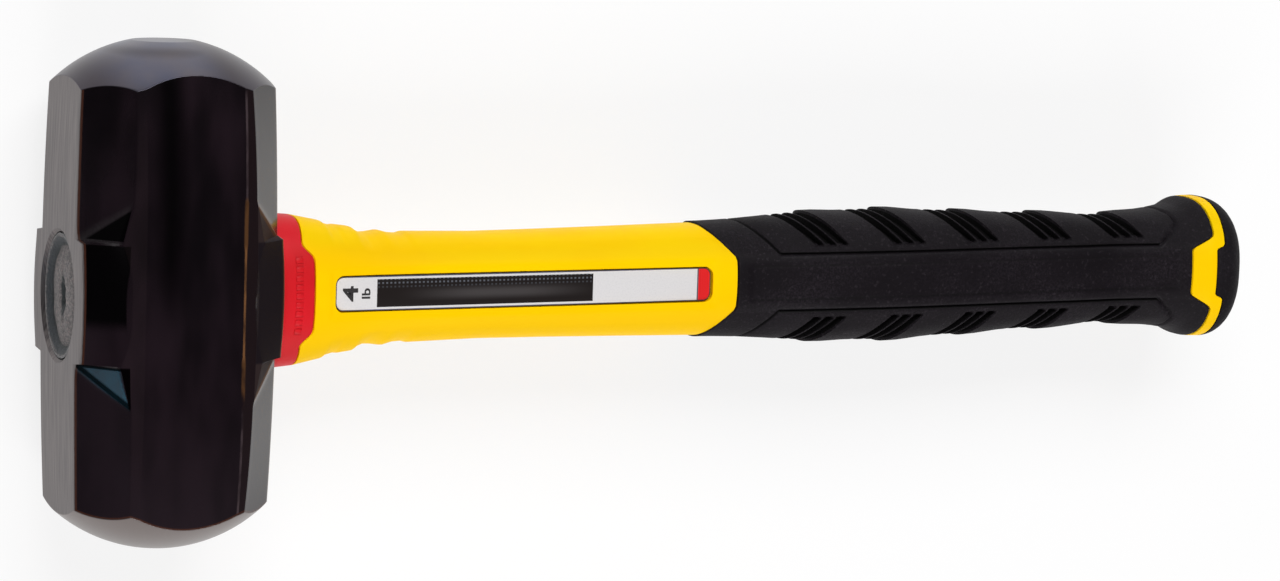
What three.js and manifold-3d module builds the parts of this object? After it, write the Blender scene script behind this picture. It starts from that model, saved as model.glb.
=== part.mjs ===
// A short-handled sledgehammer, lying on one cheek of its head.
// Millimetres, +Z up. X runs along the handle from the head to the butt, Y along the striking axis.
import * as THREE from 'three';
import { mergeVertices } from 'three/addons/utils/BufferGeometryUtils.js';
import Module from 'manifold-3d';

const wasm = await Module();
wasm.setup();

// Clearance between pieces that touch, and the overrun of every cut
const fitGap = 0.3;
const overrun = 40;

// Head: a forged eight-sided bar with domed ends
const headLength = 124;
const headDepth = 52;
const headEndDepth = 50;
const headWidth = 51;
const headEndWidth = 47;
const shoulderSetback = 11;
const cheekFlatLength = 44;
const cheekFlatWidth = 25.2;
const cheekStripWidth = 4;
const cheekStripEndWidth = 2.9;
const cheekStripDrop = 1.1;
const eyeFaceWidth = 25.2;
const eyeFaceEndWidth = 23.6;
const domeRadius = 38;
const strikingFaceRadius = 8;

// Bosses that thicken the long chamfers beside the eye
const bossLength = 28.6;
const bossFaceRise = 5.2;
const bossFaceRamp = 4.2;
const bossCheekRamp = 10.2;
const bossStripWidth = 2.8;
const bossStripEndWidth = 6.1;

// Eye of the head and the resin that fills it
const eyeHeight = 31.3;
const eyeWidth = 23.3;
const resinSink = 0.7;
const resinRimWidth = 2.4;
const resinDishDepth = 0.8;
const dimpleHeight = 9;
const dimpleWidth = 5;
const dimpleDepth = 0.9;

// Fibreglass core of the handle
const coreHeight = 15.2;
const coreWidth = 12.4;
const coreCoverAtEye = 4.4;
const coreCoverAtButt = 4.7;

// Collar between the head and the jacket
const mouthHeight = 38.8;
const mouthWidth = 28;
const collarLength = 7.2;
const collarTabLength = 2.5;
const collarTabHeight = 19.4;
const collarTabSlant = 2.6;

// Jacket: a flare behind the head, then the neck
const flareLength = 39;
const neckLength = 120;
const neckHeight = 27;
const neckWidth = 24.4;
const neckEndHeight = 29;
const neckEndWidth = 26;
const noseLength = 7.4;
const noseHeight = 13.6;

// Label plates in their recesses
const labelHeight = 8.6;
const labelThickness = 0.5;
const labelSetback = 15.9;
const labelEndMargin = 0.1;
const labelCornerRadius = 2;
const labelRecessDepth = 1.2;

// Rubber grip
const gripLength = 151;
const gripHeight = 34.3;
const gripWidth = 30.8;
const gripWall = 2.6;

// Line that frames the smooth panel on each side of the grip
const panelHeight = 15;
const panelSetback = 19.5;
const panelDiagonal = 9;
const panelEndMargin = 15;
const panelEndSweep = 6.3;
const panelEndRise = 5;
const panelEndHook = 2.3;
const panelLineWidth = 0.7;
const panelLineDepth = 0.5;

// Slanted grooves beside the panel
const grooveGroups = 5;
const groovesPerGroup = 3;
const grooveSetback = 30.8;
const grooveEndMargin = 28.2;
const groovePitch = 3.5;
const grooveWidth = 1.2;
const grooveWidthGain = 0.4;
const grooveMargin = 2.4;
const grooveDepth = 0.9;

// Flange of the jacket at the butt, and the cap behind it
const flangeLength = 3.6;
const flangeTabLength = 7.7;
const flangeTabHeight = 12.2;
const flangeTabSlant = 3.8;
const capLength = 10.9;
const capTabLength = 2.5;
const capTabHeight = 12.4;
const capTabSlant = 1;
const spigotLength = 4.4;

// Fineness and roundness of the curved surfaces
const sectionSteps = 36;
const sectionPower = 2.5;
const domeSteps = 8;
const domeSides = 48;
const capSteps = 6;
const cornerSteps = 4;

// Swell of the flare and the grip: the part of the length, then the part of the swell or height
const flareShares = [
  [0, 1], [0.19, 0.9], [0.37, 0.65], [0.42, 0.5], [0.49, 0.41], [0.59, 0.35],
  [0.65, 0.12], [0.7, 0.08], [0.8, 0.13], [0.87, 0.04], [1, 0],
];
const gripShares = [
  [0, 0.869], [0.077, 0.889], [0.212, 0.968], [0.371, 1], [0.47, 0.971], [0.613, 0.915],
  [0.745, 0.883], [0.811, 0.846], [0.907, 0.913], [0.965, 0.988], [1, 1.11],
];
const buttShare = 1.12;

// Places along the handle, measured from the middle of the eye
const headFace = headDepth / 2;
const collarEnd = headFace + collarLength;
const neckEnd = headFace + neckLength;
const noseEnd = neckEnd + noseLength;
const flangeStart = neckEnd + gripLength;
const flangeEnd = flangeStart + flangeLength;
const spigotEnd = flangeEnd + spigotLength;
const capEnd = flangeEnd + capLength;
const coreStart = coreCoverAtEye - headFace;
const coreEnd = spigotEnd - coreCoverAtButt;

// Shaft of the jacket inside the grip
const waistShare = Math.min(...gripShares.map((row) => row[1]));
const shaftHeight = gripHeight * waistShare - 2 * (gripWall + fitGap);
const shaftWidth = gripWidth * waistShare - 2 * (gripWall + fitGap);

// Closed solids and the geometry made from them
function solidOf(geometry) {
  const bare = geometry.clone();
  bare.deleteAttribute('normal');
  bare.deleteAttribute('uv');
  const merged = mergeVertices(bare);
  return new wasm.Manifold(new wasm.Mesh({
    numProp: 3,
    vertProperties: merged.attributes.position.array,
    triVerts: new Uint32Array(merged.index.array),
  }));
}

function geometryOf(solid) {
  const mesh = solid.getMesh();
  const geometry = new THREE.BufferGeometry();
  geometry.setAttribute('position', new THREE.BufferAttribute(mesh.vertProperties, 3));
  geometry.setIndex(new THREE.BufferAttribute(mesh.triVerts, 1));
  geometry.computeVertexNormals();
  return geometry;
}

function joined(solids) {
  return solids.reduce((whole, piece) => whole.add(piece));
}

function middleOf(ring) {
  const sum = ring.reduce((total, point) => total.add(point), new THREE.Vector3());
  return sum.divideScalar(ring.length);
}

// Skin over a row of rings with equal numbers of points, closed at both ends
function loft(rings) {
  const count = rings[0].length;
  const last = (rings.length - 1) * count;
  const startMiddle = rings.length * count;
  const endMiddle = startMiddle + 1;
  const points = [...rings.flat(), middleOf(rings[0]), middleOf(rings[rings.length - 1])];
  const triangles = [];
  for (let j = 0; j < count; j++) {
    const k = (j + 1) % count;
    for (let row = 0; row < last; row += count) {
      triangles.push(row + j, row + k, row + count + j);
      triangles.push(row + k, row + count + k, row + count + j);
    }
    triangles.push(startMiddle, k, j);
    triangles.push(endMiddle, last + j, last + k);
  }
  const geometry = new THREE.BufferGeometry().setFromPoints(points);
  geometry.setIndex(triangles);
  return solidOf(geometry);
}

// Rounded-oval section across the handle
function ovalRing(x, height, width, grow = 0) {
  const ring = [];
  for (let j = 0; j < sectionSteps; j++) {
    const turn = (j / sectionSteps) * 2 * Math.PI;
    const c = Math.cos(turn);
    const s = Math.sin(turn);
    const y = Math.sign(c) * Math.abs(c) ** (2 / sectionPower) * (height / 2 + grow);
    const z = Math.sign(s) * Math.abs(s) ** (2 / sectionPower) * (width / 2 + grow);
    ring.push(new THREE.Vector3(x, y, z));
  }
  return ring;
}

function ovalBar(start, end, height, width, grow = 0) {
  return loft([ovalRing(start, height, width, grow), ovalRing(end, height, width, grow)]);
}

// Elliptical bar along the handle
function ellipseBar(start, end, height, width) {
  const bar = new THREE.CylinderGeometry(height / 2, height / 2, end - start, sectionSteps);
  bar.rotateZ(Math.PI / 2);
  bar.scale(1, 1, width / height);
  bar.translate((start + end) / 2, 0, 0);
  return solidOf(bar);
}

// Prism along Z from an outline in X and Y
function prism(outline, bottom = -overrun, top = overrun) {
  const shape = new THREE.Shape(outline.map(([x, y]) => new THREE.Vector2(x, y)));
  const block = new THREE.ExtrudeGeometry(shape, { depth: top - bottom, bevelEnabled: false });
  block.translate(0, 0, bottom);
  return solidOf(block);
}

function flipped(outline) {
  return outline.map(([x, y]) => [x, -y]).reverse();
}

// Line across the handle at x, with a stepped or tabbed middle given by its upper half
function crossLine(x, upperHalf = []) {
  return [[x, -overrun], ...flipped(upperHalf), ...upperHalf, [x, overrun]];
}

// Slice of the handle between two such lines
function sliceBetween(left, right) {
  return prism([...right, ...[...left].reverse()]);
}

// Half-sizes of the head narrow from the middle towards the striking faces
const shoulder = headLength / 2 - shoulderSetback;

function narrowed(middle, end, share) {
  return middle + (end - middle) * share ** 2;
}

function cheekHeightAt(y) {
  const flat = cheekFlatLength / 2;
  const share = Math.max(0, (Math.abs(y) - flat) / (shoulder - flat));
  return narrowed(headWidth, headEndWidth, share) / 2;
}

function creaseCorner(y) {
  return new THREE.Vector3(cheekFlatWidth / 2, y, cheekHeightAt(y));
}

function cheekCorner(y, boss) {
  const plain = narrowed(cheekStripWidth, cheekStripEndWidth, Math.abs(y) / shoulder);
  const thick = narrowed(bossStripWidth, bossStripEndWidth, Math.abs(y) / (bossLength / 2));
  const strip = boss ? thick : plain;
  const drop = cheekStripDrop * (strip / cheekStripWidth);
  return new THREE.Vector3(cheekFlatWidth / 2 + strip, y, cheekHeightAt(y) - drop);
}

function faceCorner(y, boss) {
  const share = Math.abs(y) / shoulder;
  const x = narrowed(headDepth, headEndDepth, share) / 2;
  const z = narrowed(eyeFaceWidth, eyeFaceEndWidth, share) / 2;
  return new THREE.Vector3(x, y, boss ? z + bossFaceRise : z);
}

function headRing(cheekY, faceY, boss) {
  const quarter = [creaseCorner(cheekY), cheekCorner(cheekY, boss), faceCorner(faceY, boss)];
  const turned = [...quarter].reverse();
  const placed = (corners, signX, signZ) => corners.map(
    (corner) => new THREE.Vector3(signX * corner.x, corner.y, signZ * corner.z),
  );
  return [
    ...placed(quarter, 1, 1), ...placed(turned, 1, -1),
    ...placed(quarter, -1, -1), ...placed(turned, -1, 1),
  ];
}

// Round blank whose domed ends give the head its scalloped shoulders
function domedBlank() {
  const rim = Math.asin(strikingFaceRadius / domeRadius);
  const domeMiddle = headLength / 2 - domeRadius * Math.cos(rim);
  const upper = [new THREE.Vector2(0, headLength / 2)];
  for (let i = 0; i <= domeSteps; i++) {
    const angle = rim + (i / domeSteps) * (Math.PI / 2 - rim);
    const out = domeRadius * Math.sin(angle);
    upper.push(new THREE.Vector2(out, domeMiddle + domeRadius * Math.cos(angle)));
  }
  const lower = upper.map((point) => new THREE.Vector2(point.x, -point.y)).reverse();
  return solidOf(new THREE.LatheGeometry([...upper, ...lower].reverse(), domeSides));
}

function makeHead() {
  const bossEnd = bossLength / 2;
  const bossFoot = bossEnd + bossCheekRamp;
  const taper = shoulder - bossFoot;
  const upperHalf = [
    headRing(bossEnd / 3, bossEnd / 3, true),
    headRing(bossEnd * 2 / 3, bossEnd * 2 / 3, true),
    headRing(bossEnd, bossEnd, true),
    headRing(bossFoot, bossEnd + bossFaceRamp, false),
    headRing(bossFoot + taper / 3, bossFoot + taper / 3, false),
    headRing(bossFoot + taper * 2 / 3, bossFoot + taper * 2 / 3, false),
    headRing(shoulder, shoulder, false),
    headRing(shoulder + overrun / 2, shoulder + overrun / 2, false),
  ];
  const lowerHalf = upperHalf.map((ring) => ring.map(
    (point) => new THREE.Vector3(point.x, -point.y, point.z),
  ));
  const bar = loft([...lowerHalf.reverse(), headRing(0, 0, true), ...upperHalf]);
  const eye = ellipseBar(-headFace - overrun, headFace + overrun, eyeHeight, eyeWidth);
  return bar.intersect(domedBlank()).subtract(eye);
}

// Resin that bonds the core in the eye, dished where it was poured
function makeResin() {
  const face = resinSink - headFace;
  const height = eyeHeight - 2 * fitGap;
  const width = eyeWidth - 2 * fitGap;
  const plug = ellipseBar(face, headFace - fitGap, height, width);
  const dishFloor = face + resinDishDepth;
  const dishHeight = height - 2 * resinRimWidth;
  const dish = ellipseBar(face - overrun, dishFloor, dishHeight, width - 2 * resinRimWidth);
  const dimpleFloor = dishFloor + dimpleDepth;
  const dimple = ellipseBar(face - overrun, dimpleFloor, dimpleHeight, dimpleWidth);
  const bore = ovalBar(coreStart - fitGap, headFace + overrun, coreHeight, coreWidth, fitGap);
  return plug.subtract(dish).subtract(dimple).subtract(bore);
}

function makeCore() {
  return ovalBar(coreStart, coreEnd, coreHeight, coreWidth);
}

function coreBore() {
  return ovalBar(0, coreEnd + fitGap, coreHeight, coreWidth, fitGap);
}

// Outside of the handle from the head to the front of the grip
function neckBody() {
  const rings = flareShares.map(([along, swell]) => {
    const height = neckHeight + (mouthHeight - neckHeight) * swell;
    const fading = ((1 + Math.cos(Math.PI * along)) / 2) ** 2;
    const width = neckWidth + (mouthWidth - neckWidth) * fading;
    return ovalRing(headFace + along * flareLength, height, width);
  });
  rings.push(ovalRing(neckEnd, neckEndHeight, neckEndWidth));
  rings.push(ovalRing(noseEnd + overrun, neckEndHeight, neckEndWidth));
  return loft(rings);
}

// Outside of the handle from the front of the grip to the crown of the butt
function gripBody(inset = 0) {
  const rings = gripShares.map(([along, swell]) => (
    ovalRing(neckEnd + along * gripLength, gripHeight * swell, gripWidth * swell, -inset)
  ));
  for (let i = 0; i < capSteps; i++) {
    const angle = (i / capSteps) * Math.PI / 2;
    const swell = buttShare * Math.cos(angle);
    const x = flangeEnd + capLength * Math.sin(angle);
    rings.push(ovalRing(x, gripHeight * swell, gripWidth * swell, -inset * Math.cos(angle)));
  }
  const crownShare = buttShare * Math.cos((1 - 0.5 / capSteps) * Math.PI / 2);
  rings.push(ovalRing(capEnd, gripHeight * crownShare, gripWidth * crownShare));
  return loft(rings);
}

// Lines where the pieces of the handle meet, moved along and widened by a clearance
function collarLine(along = 0, grow = 0) {
  const tip = collarTabHeight / 2 + grow;
  const x = collarEnd + along;
  return crossLine(x, [[x + collarTabLength, tip], [x, tip + collarTabSlant]]);
}

function noseLine(along = 0, grow = 0) {
  const x = neckEnd + along;
  return crossLine(x, [[noseEnd + along, noseHeight / 2 + grow], [x, neckEndHeight / 2 + grow]]);
}

function flangeLine(along = 0, grow = 0) {
  const tip = flangeTabHeight / 2 + grow;
  const x = flangeStart + along;
  return crossLine(x, [[x - flangeTabLength, tip], [x, tip + flangeTabSlant]]);
}

function capLine(along = 0, grow = 0) {
  const tip = capTabHeight / 2 + grow;
  const x = flangeEnd + along;
  return crossLine(x, [[x - capTabLength, tip], [x, tip + capTabSlant]]);
}

function makeCollar() {
  const slice = sliceBetween(crossLine(headFace + fitGap), collarLine());
  return neckBody().intersect(slice).subtract(coreBore());
}

// Label recess and plate share one rounded outline
const labelStart = headFace + labelSetback;
const labelEnd = neckEnd - labelEndMargin;
const labelFloor = neckWidth / 2 - labelRecessDepth;

function labelOutline(grow = 0) {
  const radius = labelCornerRadius + grow;
  const middleX = (labelStart + labelEnd) / 2;
  const reachX = (labelEnd - labelStart) / 2 - labelCornerRadius;
  const reachY = labelHeight / 2 - labelCornerRadius;
  const outline = [];
  for (let corner = 0; corner < 4; corner++) {
    const signX = corner === 0 || corner === 3 ? 1 : -1;
    const signY = corner < 2 ? 1 : -1;
    for (let i = 0; i <= cornerSteps; i++) {
      const angle = (corner + i / cornerSteps) * Math.PI / 2;
      const x = middleX + signX * reachX + radius * Math.cos(angle);
      outline.push([x, signY * reachY + radius * Math.sin(angle)]);
    }
  }
  return outline;
}

function makeLabel(side) {
  const inner = labelFloor + fitGap;
  const outer = inner + labelThickness;
  return side > 0 ? prism(labelOutline(), inner, outer) : prism(labelOutline(), -outer, -inner);
}

function makeJacket() {
  const neck = neckBody().intersect(sliceBetween(collarLine(fitGap, fitGap), noseLine()));
  const shaft = ovalBar(neckEnd - noseLength, spigotEnd, shaftHeight, shaftWidth);
  const flange = gripBody().intersect(sliceBetween(flangeLine(), capLine()));
  const recesses = [
    prism(labelOutline(fitGap), labelFloor, overrun),
    prism(labelOutline(fitGap), -overrun, -labelFloor),
  ];
  return joined([neck, shaft, flange]).subtract(coreBore()).subtract(joined(recesses));
}

// Slanted grooves, wider one after another, over the upper and the lower edge of the grip
function grooveCuts() {
  const inner = panelHeight / 2 + grooveMargin;
  const run = gripHeight / 2;
  const groupPitch = (gripLength - grooveSetback - grooveEndMargin) / (grooveGroups - 1);
  const cuts = [];
  for (let group = 0; group < grooveGroups; group++) {
    for (let i = 0; i < groovesPerGroup; i++) {
      const x = neckEnd + grooveSetback + group * groupPitch + i * groovePitch;
      const width = grooveWidth + i * grooveWidthGain;
      const upper = [
        [x, inner], [x + width, inner],
        [x + width - run, inner + run], [x - run, inner + run],
      ];
      cuts.push(prism(upper), prism(flipped(upper)));
    }
  }
  return joined(cuts);
}

// Straight stroke between two points, as wide as the panel line
function stroke([ax, ay], [bx, by]) {
  const length = Math.hypot(bx - ax, by - ay);
  const alongX = (bx - ax) / length * panelLineWidth / 2;
  const alongY = (by - ay) / length * panelLineWidth / 2;
  return prism([
    [ax - alongX + alongY, ay - alongY - alongX], [bx + alongX + alongY, by + alongY - alongX],
    [bx + alongX - alongY, by + alongY + alongX], [ax - alongX - alongY, ay - alongY + alongX],
  ]);
}

function panelLineCuts() {
  const half = panelHeight / 2;
  const start = neckEnd + panelSetback;
  const end = flangeStart - panelEndMargin;
  const upper = [
    [start - panelDiagonal, half + panelDiagonal], [start, half], [end, half],
    [end + panelEndSweep, half + panelEndRise],
    [end + panelEndSweep - panelEndHook, half + 2 * panelEndRise],
  ];
  const cuts = [];
  for (let i = 0; i + 1 < upper.length; i++) {
    const [from, to] = [upper[i], upper[i + 1]];
    cuts.push(stroke(from, to), stroke([from[0], -from[1]], [to[0], -to[1]]));
  }
  return joined(cuts);
}

function makeGrip() {
  const slice = sliceBetween(noseLine(fitGap, fitGap), flangeLine(-fitGap, fitGap));
  const bore = ovalBar(neckEnd - overrun, capEnd, shaftHeight, shaftWidth, fitGap);
  const grooves = grooveCuts().subtract(gripBody(grooveDepth));
  const lines = panelLineCuts().subtract(gripBody(panelLineDepth));
  return gripBody().intersect(slice).subtract(bore).subtract(grooves).subtract(lines);
}

function makeCap() {
  const slice = sliceBetween(capLine(fitGap, -fitGap), crossLine(capEnd + overrun));
  const socket = ovalBar(flangeStart, spigotEnd + fitGap, shaftHeight, shaftWidth, fitGap);
  return gripBody().intersect(slice).subtract(socket);
}

// Materials
const bareSteel = new THREE.MeshStandardMaterial({ color: '#8b8689', roughness: 0.38, metalness: 1 });
const resin = new THREE.MeshStandardMaterial({ color: '#6a6362', roughness: 0.55, metalness: 0 });
const fibreglass = new THREE.MeshStandardMaterial({ color: '#d9c994', roughness: 0.45, metalness: 0 });
const redRubber = new THREE.MeshStandardMaterial({ color: '#cf1f28', roughness: 0.5, metalness: 0 });
const yellowPlastic = new THREE.MeshStandardMaterial({ color: '#fdc704', roughness: 0.4, metalness: 0 });
const labelFilm = new THREE.MeshStandardMaterial({ color: '#eeeef6', roughness: 0.3, metalness: 0 });
const blackRubber = new THREE.MeshStandardMaterial({ color: '#241f26', roughness: 0.75, metalness: 0 });

const hammer = new THREE.Group();
hammer.position.z = headWidth / 2;

function addPiece(name, solid, material) {
  const mesh = new THREE.Mesh(geometryOf(solid), material);
  mesh.name = name;
  hammer.add(mesh);
}

addPiece('head', makeHead(), bareSteel);
addPiece('eye_resin', makeResin(), resin);
addPiece('handle_core', makeCore(), fibreglass);
addPiece('collar', makeCollar(), redRubber);
addPiece('jacket', makeJacket(), yellowPlastic);
addPiece('label_front', makeLabel(1), labelFilm);
addPiece('label_back', makeLabel(-1), labelFilm);
addPiece('grip', makeGrip(), blackRubber);
addPiece('butt_cap', makeCap(), blackRubber);

export default hammer;
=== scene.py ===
# A short-handled sledgehammer: enamelled head, moulded handle, printed plates and a rubber grip.
# Shapes are worked out in millimetres from the handle's axis, with X from the head to the butt,
# Y along the striking axis and Z up through the cheeks.
import math
from types import SimpleNamespace

import bmesh
import bpy
import numpy as np
from mathutils import Matrix, Vector


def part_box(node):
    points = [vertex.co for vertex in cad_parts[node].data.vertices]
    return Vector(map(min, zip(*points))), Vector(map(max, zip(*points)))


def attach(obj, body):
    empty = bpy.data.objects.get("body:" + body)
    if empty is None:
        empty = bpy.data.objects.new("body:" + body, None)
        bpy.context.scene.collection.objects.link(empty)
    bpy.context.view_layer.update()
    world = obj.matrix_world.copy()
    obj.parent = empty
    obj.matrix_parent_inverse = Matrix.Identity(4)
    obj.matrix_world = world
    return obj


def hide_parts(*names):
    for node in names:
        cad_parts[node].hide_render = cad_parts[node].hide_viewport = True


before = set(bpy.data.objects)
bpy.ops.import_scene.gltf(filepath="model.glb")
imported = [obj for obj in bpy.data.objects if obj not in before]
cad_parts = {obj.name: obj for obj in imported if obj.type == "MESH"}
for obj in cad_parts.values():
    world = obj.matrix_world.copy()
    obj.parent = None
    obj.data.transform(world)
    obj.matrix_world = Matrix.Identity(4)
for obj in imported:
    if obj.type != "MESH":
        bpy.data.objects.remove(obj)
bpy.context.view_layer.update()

MM = 0.001
TINY = 1e-6
head_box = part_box("head")
AXIS = Vector((0, 0, (head_box[0].z + head_box[1].z) / 2))


def corners(node):
    """Lowest and highest corner of a CAD node in the script's millimetres."""
    return [[value / MM for value in corner - AXIS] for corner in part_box(node)]


# Head
HALF_DEPTH, HALF_LENGTH, HALF_WIDTH = corners("head")[1]
END_DEPTH_LOSS = 1.0
END_WIDTH_LOSS = 2.0
SHOULDER = HALF_LENGTH - 11
CHEEK_FLAT = 22.0
CREASE = 12.6
STRIP = 3.3
STRIP_END_LOSS = 1.2
STRIP_SLOPE = 0.275
FACE_HALF = 12.6
FACE_END_LOSS = 0.8
DOME_RADIUS = 38.0
STRIKING_RADIUS = 8.0
DOME_MIDDLE = HALF_LENGTH - math.sqrt(DOME_RADIUS ** 2 - STRIKING_RADIUS ** 2)

# Boss beside the eye
BOSS_END = 14.5
BOSS_BEVEL = 0.6
BOSS_RIDGE = BOSS_END + BOSS_BEVEL
BOSS_HEEL = 16.2
BOSS_FOOT = 25.2
BOSS_RISE = 5.7
BOSS_END_RISE = 4.2
BOSS_STRIP = 3.0
BOSS_END_STRIP = 5.5

# Rounding of the edges of the head
CREASE_ROUND = 0.05
BOSS_ROUND = 0.06
FACE_ROUND = 0.12
EYE_FACE_ROUND = 0.32
RIM_ROUND = 0.012

# Eye and resin
EYE_HALF_HEIGHT = 15.65
EYE_HALF_WIDTH = 11.65
EYE_CHAMFER = 0.9

# Handle
FIT_GAP = 0.3
SECTION_POWER = 2.5
(COLLAR_START, _, _), (COLLAR_TIP, _, MOUTH_HALF_WIDTH) = corners("collar")
FLARE_LENGTH = 39.0
NECK_HALF_WIDTH = 12.2
NECK_END_HALF_WIDTH = 13.0
NECK_END = corners("grip")[0][0] - FIT_GAP
NOSE_LENGTH = 7.4
GRIP_LENGTH = 151.0
GRIP_HALF_HEIGHT = 17.15
GRIP_HALF_WIDTH = 15.4
FLANGE_START = NECK_END + GRIP_LENGTH
FLANGE_END = FLANGE_START + 3.6
CAP_END = corners("butt_cap")[1][0]
CAP_LENGTH = CAP_END - FLANGE_END
CORE_HALF_HEIGHT = 7.6
CORE_HALF_WIDTH = 6.2
SPIGOT_HALF_HEIGHT = 14.3
SPIGOT_HALF_WIDTH = 12.8
SPIGOT_LENGTH = 4.4
SHAFT_SHARE = 0.846
SHAFT_DEPTH = 2.9

# Half-height of the neck, in millimetres along the handle and out from its axis
NECK_STEPS = [
    (26, 19.4), (34, 18.75), (41.2, 17.3), (42.2, 16.6), (44.9, 15.9), (46, 16.05), (49.5, 15.6),
    (50.6, 14.8), (52.7, 13.95), (55, 14.0), (57.9, 14.4), (60.6, 13.7), (63.5, 13.5), (65, 13.9),
    (84, 13.5), (102, 13.7), (120, 14.0), (146, 14.5), (160, 14.6),
]
# The same without its steps
NECK_EVEN = ((26, 34, 41.2, 46, 50, 54, 58, 65, 84, 102, 120, 146, 160),
             (19.4, 18.75, 17.35, 16.35, 15.5, 14.75, 14.4, 13.95, 13.5, 13.7, 14.0, 14.5, 14.6))
# Swell of the grip: part of its length, then part of its full height
GRIP_SWELLS = [
    (0, 0.869), (0.077, 0.889), (0.212, 0.968), (0.371, 1), (0.47, 0.971), (0.613, 0.915),
    (0.745, 0.883), (0.811, SHAFT_SHARE), (0.907, 0.913), (0.965, 0.988), (1, 1.11), (1.03, 1.12),
]

# Lines where the pieces of the handle meet: a place along it, then heights over the middle line
# with the distance of the line from that place
COLLAR_EDGE = COLLAR_TIP, [(9, 0), (9.8, -0.35), (12, -2.7), (13, -3), (16, -2.5), (20, -1.8)]
NOSE_EDGE = NECK_END, [(6, NOSE_LENGTH), (7, 7), (13.6, 0.7), (14.6, 0)]
FLANGE_EDGE = FLANGE_START, [(5.7, -5.9), (6.5, -5.5), (9.5, -0.6), (10.3, 0)]
CAP_EDGE = FLANGE_END, [(5.9, -2.5), (6.5, -2.1), (7.1, -0.4), (7.7, 0)]

# Grooves of the grip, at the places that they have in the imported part
GROOVE_START = NECK_END + 30.8
GROOVE_GROUPS = 5
GROOVES_PER_GROUP = 3
GROUP_PITCH = (GRIP_LENGTH - 30.8 - 28.2) / (GROOVE_GROUPS - 1)
GROOVE_PITCH = 3.5
GROUP_LENGTH = GROOVES_PER_GROUP * GROOVE_PITCH
GROOVE_WIDTH = 2.6
GROOVE_WIDTH_GAIN = 0.2
GROOVE_DEPTH = 1.7
GROOVE_HEIGHT = 9.7
PAD_RISE = 0.5

# Panel of the grip, and the line round it
PANEL_HEIGHT = 7.5
PANEL_TURN = NECK_END + 19.5
PANEL_END = NECK_END + 136
PANEL_LINE_DEPTH = 0.8
PANEL_LINE = [(PANEL_TURN - 9, PANEL_HEIGHT + 9), (PANEL_TURN, PANEL_HEIGHT)]
PANEL_LINE += [(PANEL_END + past, height) for past, height in (
    (0, PANEL_HEIGHT), (6, 12.4), (6.2, 13.4), (5.6, 15.2), (4, 17.4), (3, 21))]
FIELD_HEIGHT = 4.35
FIELD_DEPTH = 0.35

# Printed plate, and lengths along it from its end at the head
(LABEL_START, _, LABEL_BASE), (LABEL_END, LABEL_HALF, LABEL_TOP) = corners("label_front")
LABEL_RADIUS = 2.0
LABEL_DIP = 0.32
WHITE_END = 11.1
BAND_END = 70.5
RED_START = 100.5
PRINT_BORDER = 0.28
PRINT_MARGIN = 0.75
DOT_PITCH = 0.55
ROW_PITCH = 0.5

# Row of low ribs across the collar
RIB_COUNT = 9
RIB_PITCH = 2.2
RIB_WIDTH = 1.3
RIB_START = 30.6
RIB_END = 32.6
RIB_HEIGHT = 0.3


def smooth_step(low, high, value):
    """Smooth rise from 0 at low to 1 at high."""
    share = np.clip((value - low) / (high - low), 0, 1)
    return share * share * (3 - 2 * share)


def smooth_curve(points, at):
    """Smooth curve through (place, value) points, without overshoot."""
    places, values = np.array(points, float).T
    slopes = np.diff(values) / np.diff(places)
    bends = np.zeros_like(values)
    same = slopes[1:] * slopes[:-1] > 0
    bends[1:-1][same] = 2 / (1 / slopes[1:][same] + 1 / slopes[:-1][same])
    at = np.clip(at, places[0], places[-1])
    i = np.clip(np.searchsorted(places, at) - 1, 0, len(slopes) - 1)
    step = places[i + 1] - places[i]
    t = (at - places[i]) / step
    start = values[i] * (1 + 2 * t) * (1 - t) ** 2 + bends[i] * step * t * (1 - t) ** 2
    return start + values[i + 1] * t * t * (3 - 2 * t) + bends[i + 1] * step * t * t * (t - 1)


def rounded_least(values, blend):
    """Least of several lengths, with the corners between them rounded."""
    stack = np.stack(np.broadcast_arrays(*values))
    low = stack.min(axis=0)
    return low - blend * np.log(np.exp((low - stack) / blend).sum(axis=0))


def eased(count):
    """Shares from 0 to 1 that crowd towards both ends."""
    return (1 - np.cos(np.linspace(0, math.pi, count + 1))) / 2


def points_at(x, y, z):
    return np.stack(np.broadcast_arrays(x, y, z), axis=-1)


def placed(name, data, **settings):
    """New object in the scene, with settings on its data."""
    for key, value in settings.items():
        setattr(data, key, value)
    made = bpy.data.objects.new(name, data)
    bpy.context.scene.collection.objects.link(made)
    return made


def add_mesh(name, points, faces):
    """Object with its normals outward."""
    mesh = bpy.data.meshes.new(name)
    mesh.from_pydata((np.asarray(points) * MM + np.array(AXIS)).tolist(), [], faces)
    work = bmesh.new()
    work.from_mesh(mesh)
    bmesh.ops.recalc_face_normals(work, faces=work.faces)
    work.to_mesh(mesh)
    work.free()
    return placed(name, mesh)


def faces_over(rows, columns, looped=False):
    """Faces over rings of points, capped or joined end to end."""
    faces = []
    for row in range(rows if looped else rows - 1):
        here, after = row * columns, (row + 1) % rows * columns
        for column in range(columns):
            beside = (column + 1) % columns
            faces.append([here + column, here + beside, after + beside, after + column])
    if not looped:
        end = (rows - 1) * columns
        faces += [list(range(columns)), list(range(end, end + columns))]
    return faces


def skin(name, rings, looped=False):
    """Closed mesh over rings."""
    rings = np.asarray(rings, float)
    return add_mesh(name, rings.reshape(-1, 3), faces_over(*rings.shape[:2], looped))


def smoothed(piece, angle):
    """Smooth shading, with edges sharper than the angle in degrees kept."""
    piece.data.polygons.foreach_set("use_smooth", [True] * len(piece.data.polygons))
    piece.data.set_sharp_from_angle(angle=math.radians(angle))
    return piece


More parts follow.
